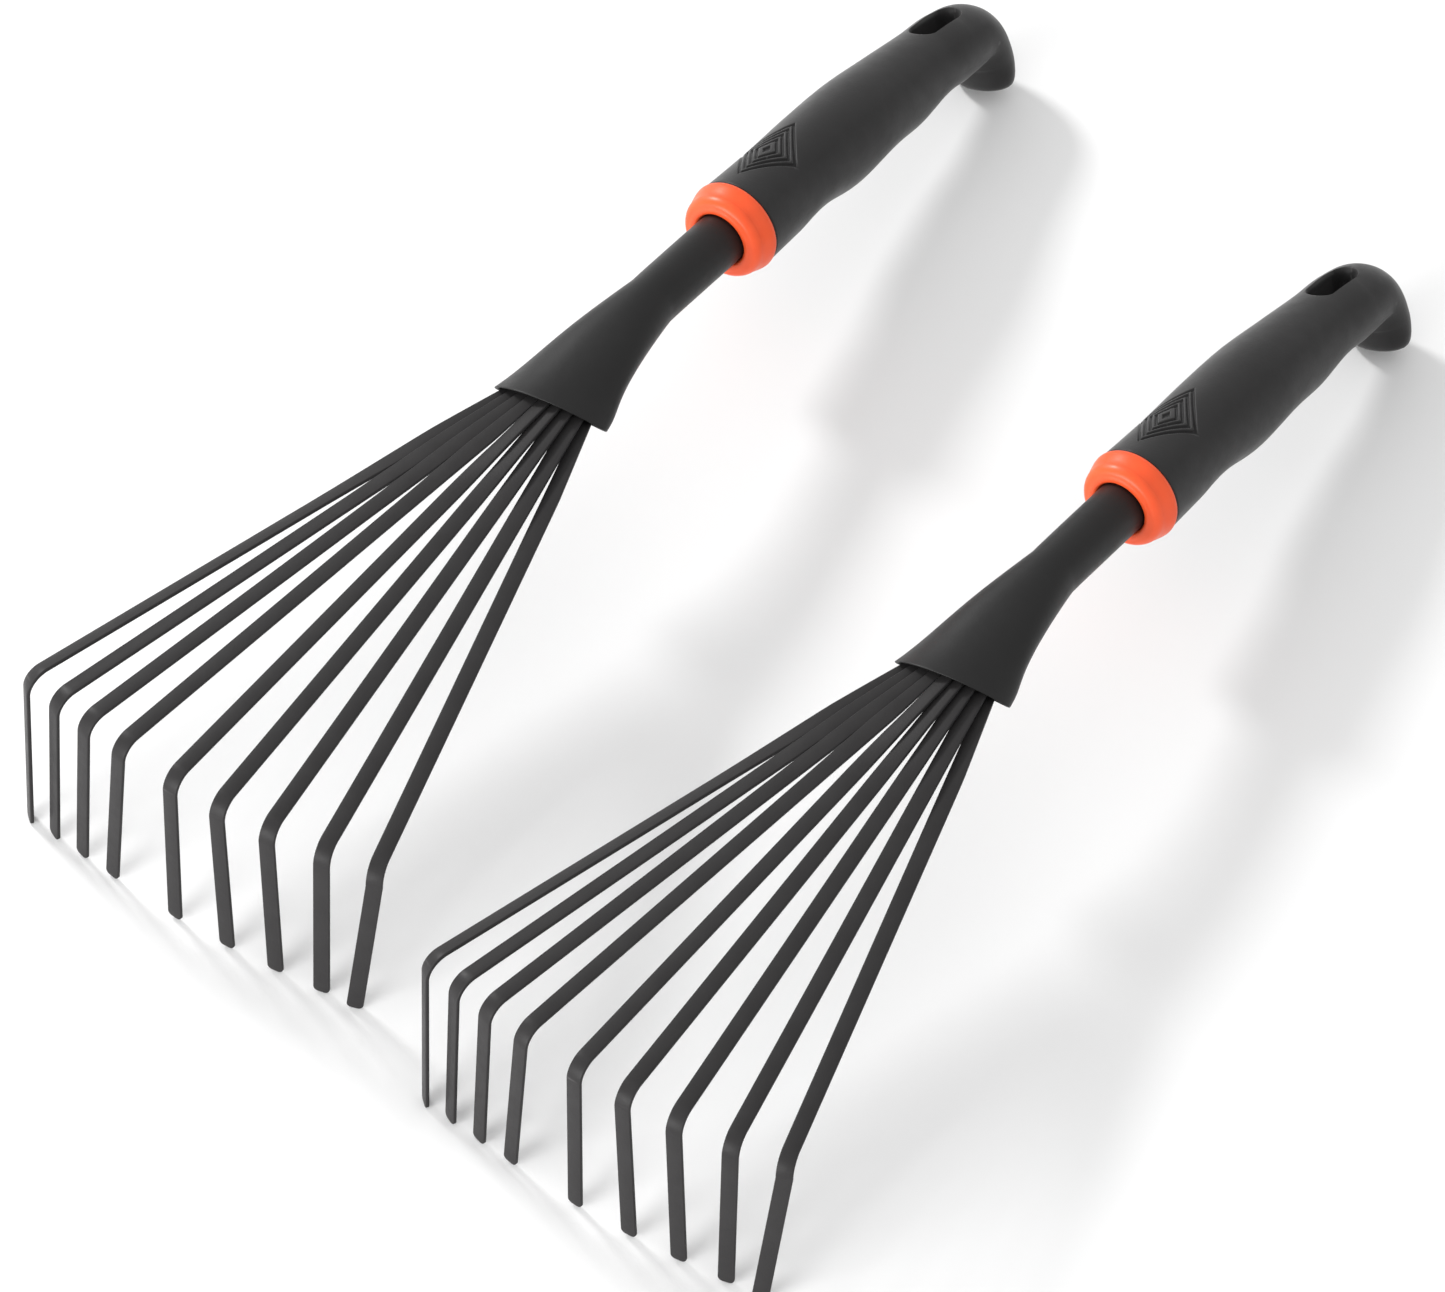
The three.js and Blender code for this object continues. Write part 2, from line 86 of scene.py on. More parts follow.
TUBE_RADIUS = 8.5
TUBE_WALL = 1.2
MOUTH_HALF_WIDTH = 18.8
MOUTH_HALF_HEIGHT = 4.5
MOUTH_SQUARENESS = 2.6
MOUTH_ARCH = 6.2
MOUTH_BULGE = 3.3
MOUTH_UNDERCUT = 6
MOUTH_SKEW = 2.6
MOUTH_Z = -1
FLARE_LENGTH = 58
FLARE_POWER = 1.06
LIP_POWER = 4
SOCKET_KINK = 10
SOCKET_SEGMENTS = 120
PATH_STEPS = 200
LIP_STEPS = 12
FLARE_RUN = (1.2, 66, 70)  # from, to and number of rings along the flare
TUBE_STATIONS = 14

COLLAR_Y = 101.8
COLLAR_Z = -15.2
HANDLE_PITCH = math.radians(-10)
HANDLE_ROLL = math.radians(-20)
COLLAR_LENGTH = 9.5
COLLAR_FRONT_RADIUS = 14.2
COLLAR_SEGMENTS = 144
# Outline points are radius and distance: past the bore's radius and the front face here,
BORE_EDGE = ((0, 1.1), (0.15, 0.6), (0.5, 0.2), (1, 0.02), (1.4, 0), (1.9, 0.05))
# from the axis and past the front face here,
FACE_DISH = ((11.1, 0.22), (11.5, 0.3))
# and from the axis and the rear face here.
COLLAR_BAND = (
    (14.6, -4.6), (15, -3.2), (15.3, -2), (15.38, -1.3), (15.3, -0.8), (15.05, -0.35), (14.6, -0.3),
)
BROW_RADIUS = 2.6
BROW_LENGTH = 3.3
BROW_START = 0.35
BROW_STEPS = 12
TUBE_IN_HANDLE = 58
GAP = 0.3

# Grip sections: distance behind the collar, height above the axis, half width, half height.
GRIP_SECTIONS = np.array((
    (0, 0, 15, 15), (7, 0, 14.8, 14.8), (22, 0, 14.4, 14.6), (41, -0.3, 14.8, 15.1),
    (62, -0.9, 15, 15.1), (82, -1.5, 13.7, 13.5), (99, -2.3, 12.8, 12.2), (112, -2.7, 12.7, 11.2),
    (122, -5, 12.4, 9.8), (125.8, -14, 12, 7.8), (125, -24, 11.4, 6.4),
))
GRIP_STATIONS = (190, 170)  # on the thumb pad's length, and behind it
GRIP_PAD_END = 0.31
GRIP_SEGMENTS = (130, 110)  # on the top quarter, and round the rest
GRIP_SLIM = 0.996  # keeps the round skin inside the faceted one
# Rounded ends: scale of the section and share of the way along, outside the full-size length.
GRIP_FULL_FROM = 0.011
GRIP_FULL_TO = 0.952
GRIP_FRONT_EDGE = ((0.935, 0), (0.965, 0.001), (0.988, 0.004))
GRIP_TAIL_EDGE = (
    (0.985, 0.968), (0.955, 0.98), (0.91, 0.989), (0.85, 0.995), (0.78, 0.999), (0.7, 1), (0.35, 1),
)
TANGENT_STEP = 0.002
SCALLOP_DEPTH = 2.1
SCALLOP_COUNT = 3
SCALLOP_FROM = 0.16
SCALLOP_TO = 0.68
SCALLOP_WRAP = 1.4  # how fast the hollows fade round the sides
HOLE_LENGTH = 20
HOLE_WIDTH = 9
HOLE_AT = 108
HOLE_LEAN = math.radians(-8)
HOLE_SEGMENTS = 64
# Height above the axis and growth of the cutter's radius there.
HOLE_FLARE = (
    (-24, 5), (-15.6, 1.6), (-14.2, 0.6), (-12.5, 0.1), (-11, 0),
    (5, 0), (6.6, 0.1), (8, 0.55), (9.2, 1.5), (16, 8),
)
PAD_AT = 21
PAD_HALF_LENGTHS = (15.2, 12.2, 9.2, 6.2)
PAD_ASPECT = 0.7
PAD_LINE = 1.6
PAD_DEPTH = 0.75
PAD_DOT = 2
PAD_EDGE = 0.3  # width of a groove's slope


# ---- meshes ----

def ease(value):
    value = np.clip(value, 0, 1)
    return value * value * (3 - 2 * value)


def make_object(name, points, faces):
    mesh = bpy.data.meshes.new(name)
    mesh.from_pydata((np.asarray(points) * MM).tolist(), [], faces)
    mesh.update()
    mesh.polygons.foreach_set("use_smooth", [True] * len(mesh.polygons))
    obj = bpy.data.objects.new(name, mesh)
    bpy.context.scene.collection.objects.link(obj)
    return obj


def ring_faces(rings, segments, joined):
    """Quads between rings of points; joined also ties the last ring to the first."""
    faces = []
    for ring in range(rings if joined else rings - 1):
        here = ring * segments
        beyond = (ring + 1) % rings * segments
        for i in range(segments):
            j = (i + 1) % segments
            faces.append((here + i, here + j, beyond + j, beyond + i))
    return faces


def swept(name, rings, capped):
    """A surface through a list of equal rings: capped at both ends, or joined end to end."""
    rings = np.asarray(rings)
    count, segments = rings.shape[:2]
    faces = ring_faces(count, segments, not capped)
    if capped:
        faces.append(tuple(range(segments))[::-1])
        faces.append(tuple((count - 1) * segments + i for i in range(segments)))
    return make_object(name, rings.reshape(-1, 3), faces)


def circle(segments):
    return np.linspace(0, FULL_TURN, segments, endpoint=False)


def turn(angle, axis):
    return np.array(Matrix.Rotation(angle, 3, axis))


def to_world(points, side):
    """From a rake's own frame, whose origin is at its socket's mouth."""
    return points @ turn(REST_TILT, "X").T + np.array(RAKE_ORIGIN) + np.array(SIDES[side])


def from_handle(points):
    """From the handle's frame, y back along its axis from the collar's rear, to the rake's."""
    turned = points @ (turn(HANDLE_PITCH, "X") @ turn(HANDLE_ROLL, "Y")).T
    return turned + np.array((0, COLLAR_Y, COLLAR_Z))


# ---- tines ----

def rounded_strip_section():
    """Unit section of the strip: corner centres and the offset of each point from its corner."""
    points = []
    for quarter, (x, z) in enumerate(((1, 1), (-1, 1), (-1, -1), (1, -1))):
        for step in range(TINE_CORNER_STEPS + 1):
            angle = (quarter + step / TINE_CORNER_STEPS) * math.pi / 2
            points.append((x, z, math.cos(angle), math.sin(angle)))
    return np.array(points)


def tine_halves(along, end, index):
    """Half widths to the left and right of the middle line."""
    share = (along + TINE_ROOT_DEPTH) / (TINE_TAPER_END + TINE_ROOT_DEPTH)
    tapered = (TINE_ROOT_WIDTH + (TINE_WIDTH - TINE_ROOT_WIDTH) * min(share, 1)) / 2
    left = TINE_WIDTH / 2 if index > MIDDLE_TINE else tapered
    right = TINE_WIDTH / 2 if MIDDLE_TINE <= index < LAST_TINE else tapered
    if index == MIDDLE_TINE - 1:
        right = min(tapered + MIDDLE_REACH, TINE_WIDTH / 2)
    inside = max(TINE_TIP_RADIUS - (end - along), 0)
    corner = TINE_TIP_RADIUS - math.sqrt(max(TINE_TIP_RADIUS**2 - inside**2, 0))
    return left - corner, right - corner


def tine_ring(section, along, ends, tine, index):
    """The strip's outline at one distance along it, before the tine is placed."""
    bend_start, bend_end, end = ends
    left, right = tine_halves(along, end, index)
    half = np.where(section[:, 0] > 0, right, left) - TINE_EDGE_RADIUS
    across = section[:, 0] * half + section[:, 2] * TINE_EDGE_RADIUS
    depth = TINE_THICKNESS / 2 - TINE_EDGE_RADIUS
    offset = section[:, 1] * depth + section[:, 3] * TINE_EDGE_RADIUS
    held = 1 - ease((along - SHINGLE_HOLD) / (SHINGLE_GONE - SHINGLE_HOLD))
    roll = math.radians(tine["twist"]) * ease(along / TINE_TWIST_END)
    roll += math.radians(SHINGLE_ROLL[index]) * held
    side = across * math.cos(roll) + offset * math.sin(roll)
    above = offset * math.cos(roll) - across * math.sin(roll)
    bent = min(max((along - bend_start) / TINE_BEND_RADIUS, 0), TINE_TURN)
    leg = max(along - bend_end, 0)
    out = min(along, bend_start) + (TINE_BEND_RADIUS + above) * math.sin(bent)
    out = out + leg * math.cos(TINE_TURN)
    down = TINE_BEND_RADIUS - (TINE_BEND_RADIUS + above) * math.cos(bent)
    down = down + leg * math.sin(TINE_TURN)
    return np.stack((side + tine["sway"] * leg / (end - bend_end), -out, -down), 1)


def tine_rings(index):
    tine = dict(zip(("angle", "twist", "sway"), TINES[index]))
    setback = TINE_BEND_RADIUS * math.tan(TINE_TURN / 2)
    bend_start = TINE_REACH - setback
    bend_end = bend_start + TINE_BEND_RADIUS * TINE_TURN
    end = bend_end + TINE_LEG - setback
    tip = end - TINE_TIP_RADIUS * np.array(TIP_SHARES)
    stations = np.concatenate((
        np.linspace(-TINE_ROOT_DEPTH, bend_start, ARM_STATIONS),
        np.linspace(bend_start, bend_end, BEND_STATIONS)[1:],
        np.linspace(bend_end, tip[0], LEG_STATIONS)[1:-1],
        tip,
    ))
    section = rounded_strip_section()
    ends = (bend_start, bend_end, end)
    rings = np.array([tine_ring(section, along, ends, tine, index) for along in stations])
    share = (index - MIDDLE_TINE) / MIDDLE_TINE
    root = -ROOT_DROP * share * share
    slope = -math.asin((-BEND_DROP * share * share - root) / TINE_REACH)
    placed = rings @ (turn(math.radians(tine["angle"]), "Z") @ turn(slope, "X")).T
    return placed + np.array((TINE_PITCH * (index - MIDDLE_TINE), 0, root))


# ---- socket ----

def socket_path():
    """Points, tangents and distances along the tube's centre line."""
    handle = np.array((0, math.cos(HANDLE_PITCH), math.sin(HANDLE_PITCH)))
    rear = np.array((0, COLLAR_Y, COLLAR_Z))
    mouth = np.array((0, 0, MOUTH_Z))
    corner = rear + handle * (FLARE_LENGTH - COLLAR_Y) / handle[1]
    before = corner + (mouth - corner) * SOCKET_KINK / FLARE_LENGTH
    after = corner + handle * SOCKET_KINK
    t = np.linspace(0, 1, PATH_STEPS)[:, None]
    bend = before * (1 - t) ** 2 + corner * 2 * t * (1 - t) + after * t**2
    first = mouth + (before - mouth) * t[:-1]
    last = after + (rear + handle * TUBE_IN_HANDLE - after) * t[1:]
    points = np.concatenate((first, bend, last))
    steps = np.linalg.norm(np.diff(points, axis=0), axis=1)
    distance = np.concatenate(((0,), np.cumsum(steps)))
    tangent = np.gradient(points, distance, axis=0)
    return points, tangent, distance


def socket_stations(length):
    """Distance along the tube and depth below its outer skin: in along the outside, round the
    lip, and back along the inside."""
    lip = TUBE_WALL / 2
    rim = []
    for step in range(LIP_STEPS + 1):
        angle = math.pi * step / LIP_STEPS
        rim.append((lip - lip * math.sin(angle), lip - lip * math.cos(angle)))
    flare_end = FLARE_RUN[1]
    rest = np.linspace(flare_end, length, TUBE_STATIONS)[1:]
    run = np.concatenate((np.linspace(*FLARE_RUN), rest))
    return [(along, 0) for along in run[::-1]] + rim + [(along, TUBE_WALL) for along in run]


def socket_ring(along, depth, path):
    points, tangent, distance = path
    left = 1 - min(along / FLARE_LENGTH, 1)
    flare = ease(left)
    width = TUBE_RADIUS + (MOUTH_HALF_WIDTH - TUBE_RADIUS) * left**FLARE_POWER
    height = TUBE_RADIUS + (MOUTH_HALF_HEIGHT - TUBE_RADIUS) * flare
    power = 2 / (2 + (MOUTH_SQUARENESS - 2) * flare)
    cosine = np.cos(circle(SOCKET_SEGMENTS))
    sine = np.sin(circle(SOCKET_SEGMENTS))
    across = (width - depth) * np.sign(cosine) * np.abs(cosine) ** power
    rise = (height - depth) * np.sign(sine) * np.abs(sine) ** power
    share = across / width
    up = rise - MOUTH_ARCH * flare * flare * share**2
    below = (1 - rise / height) / 2
    edge = MOUTH_BULGE * share**2 + MOUTH_UNDERCUT * below + MOUTH_SKEW * share
    centre_y, centre_z = (np.interp(along, distance, points[:, k]) for k in (1, 2))
    slope_y, slope_z = (np.interp(along, distance, tangent[:, k]) for k in (1, 2))
    y = centre_y - slope_z * up + edge * flare**LIP_POWER
    return np.stack((across, y, centre_z + slope_y * up), 1)


def socket_rings():
    path = socket_path()
    length = path[2][-1]
    return np.array([socket_ring(along, depth, path) for along, depth in socket_stations(length)])


# ---- collar and grip, in the handle's own frame: y back along the axis, z up ----

def lathe_rings(profile, segments):
    angles = circle(segments)
    return np.array([
        np.stack((radius * np.cos(angles), np.full(segments, y), radius * np.sin(angles)), 1)
        for radius, y in profile
    ])


def collar_profile():
    """Closed outline: bore, chamfer, dished front face, rounded brow, band, rear face."""
    bore = TUBE_RADIUS + GAP
    front = -COLLAR_LENGTH
    points = [(bore, -1)]
    points += [(bore + radius, front + y) for radius, y in BORE_EDGE]
    points += [(radius, front + y) for radius, y in FACE_DISH]
    for step in range(1, BROW_STEPS + 1):
        angle = step / BROW_STEPS * math.pi / 2
        radius = COLLAR_FRONT_RADIUS - BROW_RADIUS * (1 - math.sin(angle))
        points.append((radius, front + BROW_START + BROW_LENGTH * (1 - math.cos(angle))))
    points += COLLAR_BAND
    points.append((bore, -GAP))
    return points


def hermite(start, end, leaving, arriving, t):
    """Cubic from start to end with the given slopes at its ends."""
    squared = 3 * (end - start) - 2 * leaving - arriving
    cubed = 2 * (start - end) + leaving + arriving
    return start + leaving * t + squared * t**2 + cubed * t**3


def grip_span(share):
    """Index of the section before a share of the way along, and how far past it that is."""
    last = len(GRIP_SECTIONS) - 1
    at = min(max(share, 0), 1) * last
    index = min(int(at), last - 1)
    return index, at - index


def grip_line(share):
    """Centre line point (y, z): a centripetal Catmull-Rom curve through the sections."""
    index, t = grip_span(share)
    places = GRIP_SECTIONS[:, :2]
    before = 2 * places[:1] - places[1:2]
    after = 2 * places[-1:] - places[-2:-1]
    p0, p1, p2, p3 = np.concatenate((before, places, after))[index:index + 4]
    d0, d1, d2 = (math.sqrt(np.linalg.norm(b - a)) for a, b in ((p0, p1), (p1, p2), (p2, p3)))
    leaving = ((p1 - p0) / d0 - (p2 - p0) / (d0 + d1) + (p2 - p1) / d1) * d1
    arriving = ((p2 - p1) / d1 - (p3 - p1) / (d1 + d2) + (p3 - p2) / d2) * d1
    return hermite(p1, p2, leaving, arriving, t)


def grip_size(share):
    """Half width and half height, eased between the sections."""
    index, t = grip_span(share)
    sizes = GRIP_SECTIONS[:, 2:]
    p0, p1, p2, p3 = np.concatenate((sizes[:1], sizes, sizes[-1:]))[index:index + 4]
    return hermite(p1, p2, (p2 - p0) / 2, (p3 - p1) / 2, t)


def grip_slope(share):
    """Unit direction (y, z) of the centre line."""
    ahead = grip_line(min(share + TANGENT_STEP, 1))
    behind = grip_line(max(share - TANGENT_STEP, 0))
    return (ahead - behind) / np.linalg.norm(ahead - behind)


def pad_sink(x, y):
    """Depth of the thumb pattern at a point seen from above: nested rhombi and a dot."""
    level = np.abs(x) / PAD_ASPECT + np.abs(y - PAD_AT)

    def past(edge):
        return ease((level - edge + PAD_EDGE) / (2 * PAD_EDGE))

    depth = 1 - past(PAD_DOT)
    for half in PAD_HALF_LENGTHS:
        depth = np.maximum(depth, past(half - PAD_LINE) - past(half))
    return PAD_DEPTH * depth


def grip_ring(angles, scale, share):
    cosine = np.cos(angles)
    sine = np.sin(angles)
    half_width, half_height = grip_size(share) * GRIP_SLIM
    centre_y, centre_z = grip_line(share)
    slope_y, slope_z = grip_slope(share)
    along = min(max((share - SCALLOP_FROM) / (SCALLOP_TO - SCALLOP_FROM), 0), 1)
    hollow = SCALLOP_DEPTH * math.sin(along * SCALLOP_COUNT * math.pi) ** 2
    across = cosine * scale * half_width
    up = sine * scale * half_height + hollow * np.maximum(-sine, 0) ** SCALLOP_WRAP
    y = centre_y - slope_z * up
    z = centre_z + slope_y * up
    sink = np.where(sine > 0, pad_sink(across, y), 0)
    return np.stack((across - cosine * sink, y, z - sine * sink), 1)


def grip_rings():
    pad_stations, rear_stations = GRIP_STATIONS
    full = np.concatenate((
        np.linspace(GRIP_FULL_FROM, GRIP_PAD_END, pad_stations, endpoint=False),
        np.linspace(GRIP_PAD_END, GRIP_FULL_TO, rear_stations),
    ))
    profile = [*GRIP_FRONT_EDGE, *((1, share) for share in full), *GRIP_TAIL_EDGE]
    top_segments, other_segments = GRIP_SEGMENTS
    top_from = FULL_TURN / 8
    top_to = top_from + FULL_TURN / 4
    angles = np.concatenate((
        np.linspace(top_from, top_to, top_segments, endpoint=False),
        np.linspace(top_to, top_from + FULL_TURN, other_segments, endpoint=False),
    ))
    return np.array([grip_ring(angles, scale, share) for scale, share in profile])


def hole_rings():
    """Stadium prism through the tail, flared where it meets the skin so the rim is rounded."""
    straight = (HOLE_LENGTH - HOLE_WIDTH) / 2
    cosine = np.cos(circle(HOLE_SEGMENTS))
    sine = np.sin(circle(HOLE_SEGMENTS))
    rings = []
    for height, growth in HOLE_FLARE:
        radius = HOLE_WIDTH / 2 + growth
        y = radius * sine + np.where(sine >= 0, straight, -straight)
        rings.append(np.stack((radius * cosine, y, np.full(HOLE_SEGMENTS, float(height))), 1))
    return np.array(rings) @ turn(HOLE_LEAN, "X").T + np.array((0, HOLE_AT, 0))


def cut(target, tool):
    """Takes tool away from target and drops tool."""
    change = target.modifiers.new("cut", "BOOLEAN")
    change.operation = "DIFFERENCE"
    change.solver = "EXACT"
    change.object = tool
    bpy.context.view_layer.update()
    solved = target.evaluated_get(bpy.context.evaluated_depsgraph_get())
    shaped = bpy.data.meshes.new_from_object(solved)
    target.modifiers.clear()
    target.data = shaped
    shaped.polygons.foreach_set("use_smooth", [True] * len(shaped.polygons))
    bpy.data.objects.remove(tool)


# ---- materials ----

NOISE_LOW = 0.3  # most of a noise texture's values lie between these
NOISE_HIGH = 0.7


class Look:
    """Short calls for one material's node tree."""

    def __init__(self, name):
        self.material = bpy.data.materials.new(name)
        self.material.use_nodes = True
        self.tree = self.material.node_tree
        self.shader = self.tree.nodes["Principled BSDF"]
        self.place = self.tree.nodes.new("ShaderNodeTexCoord").outputs["Object"]

    def link(self, output, socket):
        self.tree.links.new(output, socket)

    def set(self, **values):
        """Sets the shader's own sockets; an underscore in a name stands for a space."""
        for name, value in values.items():
            self.shader.inputs[name.replace("_", " ")].default_value = value

    def noise(self, scale, detail=2.0, roughness=0.5, stretch=None):
        node = self.tree.nodes.new("ShaderNodeTexNoise")
        node.inputs["Scale"].default_value = scale
        node.inputs["Detail"].default_value = detail
        node.inputs["Roughness"].default_value = roughness
        place = self.place
        if stretch:
            mapping = self.tree.nodes.new("ShaderNodeMapping")
            mapping.inputs["Scale"].default_value = stretch
            self.link(self.place, mapping.inputs["Vector"])
            place = mapping.outputs["Vector"]
        self.link(place, node.inputs["Vector"])
        return node.outputs["Fac"]

    def mottle(self, noise, dark, light):
        """A colour that wanders between two with a noise."""
        node = self.tree.nodes.new("ShaderNodeValToRGB")
        low, high = node.color_ramp.elements
        low.position = NOISE_LOW
        low.color = (*dark, 1)
        high.position = NOISE_HIGH
        high.color = (*light, 1)
        self.link(noise, node.inputs["Fac"])
        return node.outputs["Color"]

    def remap(self, value, span, low=0, high=1):
        node = self.tree.nodes.new("ShaderNodeMapRange")
        node.inputs["From Min"].default_value = span[0]
        node.inputs["From Max"].default_value = span[1]
        node.inputs["To Min"].default_value = low
        node.inputs["To Max"].default_value = high
        self.link(value, node.inputs["Value"])
        return node.outputs["Result"]

    def spread(self, noise, low, high):
        """Stretches a noise over the values from low to high."""
        return self.remap(noise, (NOISE_LOW, NOISE_HIGH), low, high)

    def paler_edges(self, colour, edge_colour, sharpness):
        """Mixes towards a paler colour on sharp outer edges, broken up by noise."""
        point = self.tree.nodes.new("ShaderNodeNewGeometry").outputs["Pointiness"]
        patchy = self.tree.nodes.new("ShaderNodeMath")
        patchy.operation = "MULTIPLY"
        self.link(self.remap(point, sharpness), patchy.inputs[0])
        self.link(self.spread(self.noise(260, detail=3), low=0.15, high=0.9), patchy.inputs[1])
        mix = self.tree.nodes.new("ShaderNodeMix")
        mix.data_type = "RGBA"
        self.link(patchy.outputs["Value"], mix.inputs["Factor"])
        self.link(colour, mix.inputs["A"])
        mix.inputs["B"].default_value = (*edge_colour, 1)
        return mix.outputs["Result"]

    def bump(self, height, strength, distance, under=None):
        node = self.tree.nodes.new("ShaderNodeBump")
        node.inputs["Strength"].default_value = strength
        node.inputs["Distance"].default_value = distance
        self.link(height, node.inputs["Height"])
        if under:
            self.link(under, node.inputs["Normal"])
        return node.outputs["Normal"]

    def finish(self, colour, roughness, normal):
        self.link(colour, self.shader.inputs["Base Color"])
        self.link(roughness, self.shader.inputs["Roughness"])
        self.link(normal, self.shader.inputs["Normal"])
        return self.material


def powder_coat(name, dark, light, grain, shine):
    """Fine-textured satin powder coat, paler along the edges: there a painted highlight, with
    thinner coat as well.
    """
    paler = 3.2
    look = Look(name)
    colour = look.mottle(look.noise(95, detail=4, roughness=0.6), dark, light)
    # Paler sharp edges: painted highlight along the tine and socket edges, partly coat wear.
    colour = look.paler_edges(colour, tuple(paler * part for part in light), sharpness=(0.53, 0.62))
    fine = look.noise(1500, detail=3, roughness=0.65)
    orange_peel = look.bump(look.noise(420), strength=grain * 0.2, distance=0.0002)
    normal = look.bump(fine, strength=grain, distance=0.00018, under=orange_peel)
    look.set(Specular_IOR_Level=shine)
    return look.finish(colour, look.spread(look.noise(330, detail=3), 0.38, 0.46), normal)


def soft_touch(name):
    """Charcoal soft-touch rubber: even, faintly sheened, with a fine moulded grain."""
    look = Look(name)
    tone = look.noise(48, detail=5, roughness=0.6)
    colour = look.mottle(tone, dark=(0.0105, 0.0099, 0.0101), light=(0.0135, 0.0128, 0.013))
    colour = look.paler_edges(colour, (0.05, 0.049, 0.049), sharpness=(0.515, 0.56))
    grain = look.noise(1900, detail=3, roughness=0.6)
    waves = look.bump(look.noise(160), strength=0.1, distance=0.0006)
    normal = look.bump(grain, strength=0.22, distance=0.0002, under=waves)
    look.set(Sheen_Weight=0.18, Sheen_Roughness=0.45, Specular_IOR_Level=0.3)
    return look.finish(colour, look.spread(look.noise(210, detail=4), 0.44, 0.56), normal)


def moulded_plastic(name, dark, light, rough):
    """Plain hard or rubbery moulding, for pieces inside the handle."""
    look = Look(name)
    colour = look.mottle(look.noise(60, detail=4, roughness=0.55), dark, light)
    grain = look.noise(1100, detail=3, roughness=0.6)
    waves = look.bump(look.noise(190), strength=0.08, distance=0.0005)
    normal = look.bump(grain, strength=0.14, distance=0.0002, under=waves)
    sheen = look.spread(look.noise(280, detail=3), low=rough - 0.05, high=rough + 0.06)
    return look.finish(colour, sheen, normal)


def collar_plastic(name):
    """Orange plastic that scatters a little light inside."""
    look = Look(name)
    tone = look.noise(70, detail=4, roughness=0.55)
    colour = look.mottle(tone, dark=(0.88, 0.094, 0.022), light=(0.93, 0.112, 0.03))
    grain = look.noise(900, detail=3, roughness=0.6)
    waves = look.bump(look.noise(150), strength=0.06, distance=0.0005)
    normal = look.bump(grain, strength=0.12, distance=0.0002, under=waves)
    look.set(Specular_IOR_Level=0.35, Subsurface_Weight=0.12)
    look.set(Subsurface_Radius=(0.0025, 0.0008, 0.0004))
    return look.finish(colour, look.spread(look.noise(240, detail=3), 0.34, 0.44), normal)


def rolled_steel(name):
    """Bare rolled steel with drawn lines and heat-dulled patches."""
    look = Look(name)
    tone = look.noise(60, detail=5, roughness=0.6)
    colour = look.mottle(tone, dark=(0.2, 0.19, 0.18), light=(0.42, 0.41, 0.4))
    lines = look.noise(160, detail=4, roughness=0.6, stretch=(1, 22, 22))
    normal = look.bump(lines, strength=0.2, distance=0.0002)
    look.set(Metallic=1)
    return look.finish(colour, look.spread(lines, 0.32, 0.55), normal)


TINE_COAT = powder_coat(
    "tine_coat", dark=(0.0262, 0.025, 0.0254), light=(0.0308, 0.0296, 0.03), grain=0.24, shine=0.12
)
SOCKET_COAT = powder_coat(
    "socket_coat", dark=(0.0105, 0.0103, 0.0104), light=(0.0125, 0.0123, 0.0124), grain=0.16,
    shine=0.28,
)
GRIP_RUBBER = soft_touch("grip_rubber")
COLLAR_PLASTIC = collar_plastic("collar_plastic")
INNER_LOOKS = {
    "tine_weld_bar": rolled_steel("bare_steel"),
    "handle_core": moulded_plastic(
        "core_plastic", dark=(0.014, 0.014, 0.016), light=(0.024, 0.024, 0.026), rough=0.48
    ),
    "tube_plug": moulded_plastic(
        "plug_rubber", dark=(0.02, 0.02, 0.02), light=(0.034, 0.033, 0.032), rough=0.72
    ),
}


# ---- the two rakes ----

def show(obj, side, material, node):
    obj.data.materials.clear()
    obj.data.materials.append(material)
    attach(obj, side + "_rake")
    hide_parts(node)


def build_tines(side):
    for index in range(len(TINES)):
        node = f"{side}_tine_{index + 1}"
        strip = swept(f"{node}_strip", to_world(tine_rings(index), side), capped=True)
        show(strip, side, TINE_COAT, node)


def build_socket(side):
    socket = swept(f"{side}_flared_socket", to_world(socket_rings(), side), capped=False)
    show(socket, side, SOCKET_COAT, f"{side}_socket_tube")


def build_collar(side):
    rings = lathe_rings(collar_profile(), COLLAR_SEGMENTS)
    collar = swept(f"{side}_collar_ring", to_world(from_handle(rings), side), capped=False)
    show(collar, side, COLLAR_PLASTIC, f"{side}_collar")


def build_grip(side):
    grip = swept(f"{side}_grip_sleeve", to_world(from_handle(grip_rings()), side), capped=True)
    cut(grip, swept("hole_tool", to_world(from_handle(hole_rings()), side), capped=True))
    show(grip, side, GRIP_RUBBER, f"{side}_grip")


def finish_inner_pieces(side):
    """The hidden pieces stay the part's own solids and only get a material."""
    for name, material in INNER_LOOKS.items():
        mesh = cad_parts[f"{side}_{name}"].data
        mesh.materials.clear()
        mesh.materials.append(material)


for side in SIDES:
    build_tines(side)
    build_socket(side)
    build_collar(side)
    build_grip(side)
    finish_inner_pieces(side)


# ---- studio ----

FLOOR_SIZE = 12
KEY_PLACE = (-2.1, 0.5, 1.5)
KEY_SIZE = 0.5
KEY_POWER = 40
FILL_PLACE = (-0.5, -2.2, 0.45)
FILL_SIZE = 1.6
FILL_POWER = 60
SKY_COLOUR = (1, 1, 1, 1)
SKY_STRENGTH = 0.77

CAMERA_TARGET = (-0.01256, -0.01794, -0.00508)
CAMERA_DISTANCE = 4
CAMERA_AZIMUTH = math.radians(37.6386)
CAMERA_ELEVATION = math.radians(51.6809)
CAMERA_ROLL = math.radians(-2.6068)
CAMERA_LENS = 330
CAMERA_SENSOR = 36
CAMERA_NEAR = 0.1
CAMERA_FAR = 50


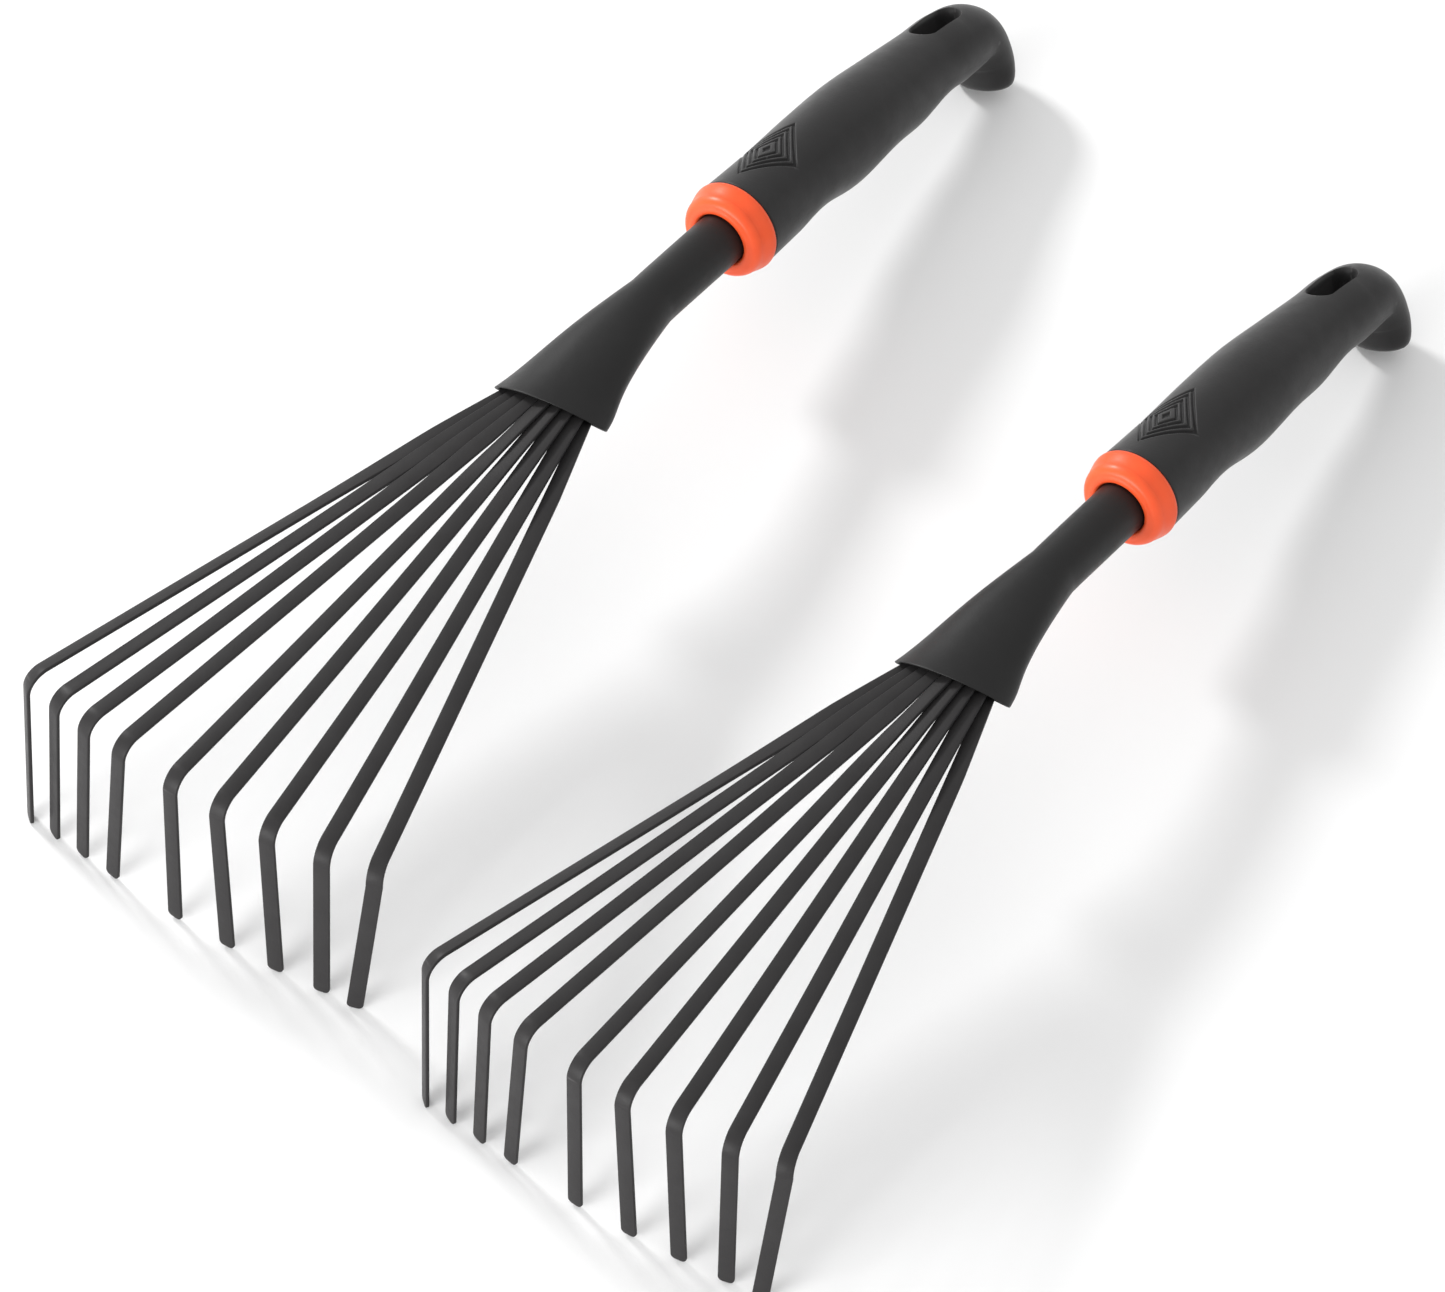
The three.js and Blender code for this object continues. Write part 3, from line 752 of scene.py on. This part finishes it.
def floor_material():
    look = Look("studio_floor")
    colour = look.mottle(look.noise(3), dark=(0.9, 0.9, 0.9), light=(0.915, 0.915, 0.915))
    normal = look.bump(look.noise(400), strength=0.02, distance=0.0002)
    return look.finish(colour, look.spread(look.noise(6), 0.85, 0.9), normal)


def lay_floor():
    half = FLOOR_SIZE / 2 / MM
    corners = ((-half, -half, 0), (half, -half, 0), (half, half, 0), (-half, half, 0))
    floor = make_object("studio_floor", corners, [(0, 1, 2, 3)])
    floor.data.materials.append(floor_material())


def light_sky():
    world = bpy.data.worlds.new("studio")
    world.use_nodes = True
    sky = world.node_tree.nodes["Background"]
    sky.inputs["Color"].default_value = SKY_COLOUR
    sky.inputs["Strength"].default_value = SKY_STRENGTH
    bpy.context.scene.world = world
    bpy.context.scene.view_settings.view_transform = "Standard"


def soft_light(name, place, size, power):
    """A round area light that points at the middle of the frame."""
    lamp = bpy.data.lights.new(name, "AREA")
    lamp.shape = "DISK"
    lamp.size = size
    lamp.energy = power
    obj = bpy.data.objects.new(name, lamp)
    bpy.context.scene.collection.objects.link(obj)
    obj.location = place
    obj.rotation_euler = (-Vector(place)).to_track_quat("-Z", "Y").to_euler()


def set_camera():
    camera = bpy.data.objects.new("camera", bpy.data.cameras.new("camera"))
    camera.data.lens = CAMERA_LENS
    camera.data.sensor_width = CAMERA_SENSOR
    camera.data.sensor_fit = "HORIZONTAL"
    camera.data.clip_start = CAMERA_NEAR
    camera.data.clip_end = CAMERA_FAR
    aim = Matrix.Translation(CAMERA_TARGET) @ Matrix.Rotation(CAMERA_AZIMUTH, 4, "Z")
    tilt = Matrix.Rotation(math.pi / 2 - CAMERA_ELEVATION, 4, "X")
    back = Matrix.Translation((0, 0, CAMERA_DISTANCE))
    camera.matrix_world = aim @ tilt @ Matrix.Rotation(CAMERA_ROLL, 4, "Z") @ back
    bpy.context.scene.collection.objects.link(camera)
    bpy.context.scene.camera = camera


lay_floor()
light_sky()
soft_light("key_light", KEY_PLACE, KEY_SIZE, KEY_POWER)
soft_light("fill_light", FILL_PLACE, FILL_SIZE, FILL_POWER)
set_camera()
